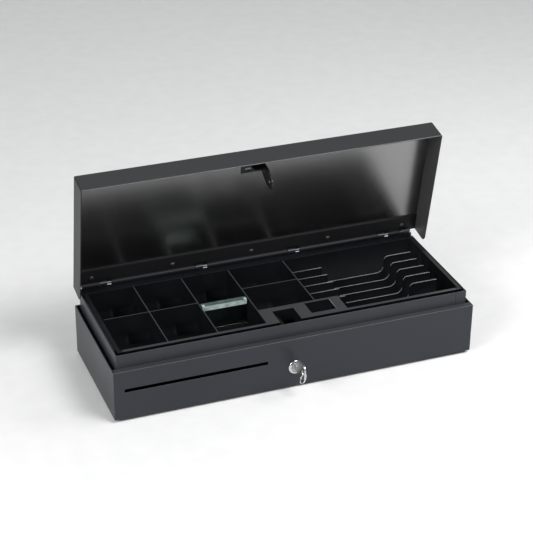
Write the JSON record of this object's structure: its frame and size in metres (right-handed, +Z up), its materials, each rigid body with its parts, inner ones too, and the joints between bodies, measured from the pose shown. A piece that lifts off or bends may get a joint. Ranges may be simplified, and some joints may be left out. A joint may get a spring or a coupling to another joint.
{
  "type": "cash drawer",
  "caption": "Flip-top cash drawer: low steel case with keyed lock and media slot, hinged lid with latch striker, and a lift-out tray of coin cups and upright note slots.",
  "frame": {"origin": "centre of the case's footprint and of its four screw-down holes, on the underside of the steel base pan; the rubber feet reach 4 mm below it", "axes": "+X to the right along the front, +Y from the front to the hinge side, +Z up"},
  "size_m": [0.46, 0.2015, 0.2559],
  "materials": {
    "case_paint": "black powder coat, fine grain",
    "rim_paint": "black powder coat, fine grain",
    "lid_paint": "black semi-gloss powder coat",
    "striker_paint": "black paint",
    "bare_steel": "bright drawn",
    "spring_steel": "drawn wire",
    "zinc": "zinc plated",
    "rubber": "matte",
    "tray_plastic": "black, fine grain",
    "clear_plastic": "clear moulded plastic with a green cast",
    "coil_tape": "brown tape",
    "lock_chrome": "polished",
    "key_nickel": "nickel plated",
    "socket_plastic": "satin",
    "lead_sheath": "satin"
  },
  "bodies": {
    "case": {"base_pan": "case_paint", "front_panel": "case_paint", "rear_panel": "case_paint", "inner_front_wall": "rim_paint", "inner_side_wall_left": "rim_paint", "inner_side_wall_right": "rim_paint", "tray_rail_left": "rim_paint", "tray_rail_right": "rim_paint", "hinge_rod": "bare_steel", "foot_front_left": "rubber", "foot_rear_left": "rubber", "foot_front_right": "rubber", "foot_rear_right": "rubber", "money_tray": "tray_plastic", "clear_coin_divider": "clear_plastic", "latch_bracket": "zinc", "bracket_screws": "zinc", "latch_pivot_pin": "bare_steel", "latch_spring": "spring_steel", "solenoid_frame": "zinc", "solenoid_coil": "coil_tape", "solenoid_screws": "zinc", "lock_barrel": "lock_chrome", "lock_nut": "zinc", "rear_socket": "socket_plastic", "solenoid_lead": "lead_sheath"},
    "lid": {"lid_shell": "lid_paint", "lid_hinge_leaf": "lid_paint", "lid_rivets": "zinc", "striker_plate": "striker_paint", "latch_striker": "striker_paint", "striker_screws": "zinc", "lid_spring": "spring_steel"},
    "latch": {"latch_hook": "zinc", "release_pin": "bare_steel"},
    "plunger": {"solenoid_plunger": "bare_steel"},
    "key": {"lock_plug": "lock_chrome", "lock_cam": "zinc", "cam_screw": "zinc", "key": "key_nickel"},
    "key_ring": {"key_ring": "key_nickel"}
  },
  "joints": [
    {"name": "lid_hinge", "type": "hinge", "parent": "case", "child": "lid", "pos_m": [0, 0.081, 0.0898], "axis": [1, 0, 0], "range_deg": [0, 79.4], "stiffness_Nm_per_rad": 0.55, "springref_deg": -34.38, "deforming": ["lid_spring"]},
    {"name": "key_turn", "type": "hinge", "parent": "case", "child": "key", "pos_m": [-0.005, -0.086, 0.026], "axis": [0, 1, 0], "range_deg": [0, 90]},
    {"name": "latch_pivot", "type": "hinge", "parent": "case", "child": "latch", "pos_m": [-0.01365, -0.0584, 0.01], "axis": [0, -1, 0], "range_deg": [0, 8], "stiffness_Nm_per_rad": 0.02, "springref_deg": -2.86, "deforming": ["latch_spring"]},
    {"name": "plunger_slide", "type": "slide", "parent": "case", "child": "plunger", "axis": [-1, 0, 0], "range_m": [0, 0.0034]},
    {"name": "ring_swing", "type": "hinge", "parent": "key", "child": "key_ring", "pos_m": [-0.005, -0.1085, 0.032], "axis": [1, 0, 0], "range_deg": [-20, 10]}
  ],
  "couplings": [
    {"joint": "latch_pivot", "follows": "key_turn", "ratio": 0.0888},
    {"joint": "plunger_slide", "follows": "key_turn", "m_per_rad": 0.00215}
  ]
}
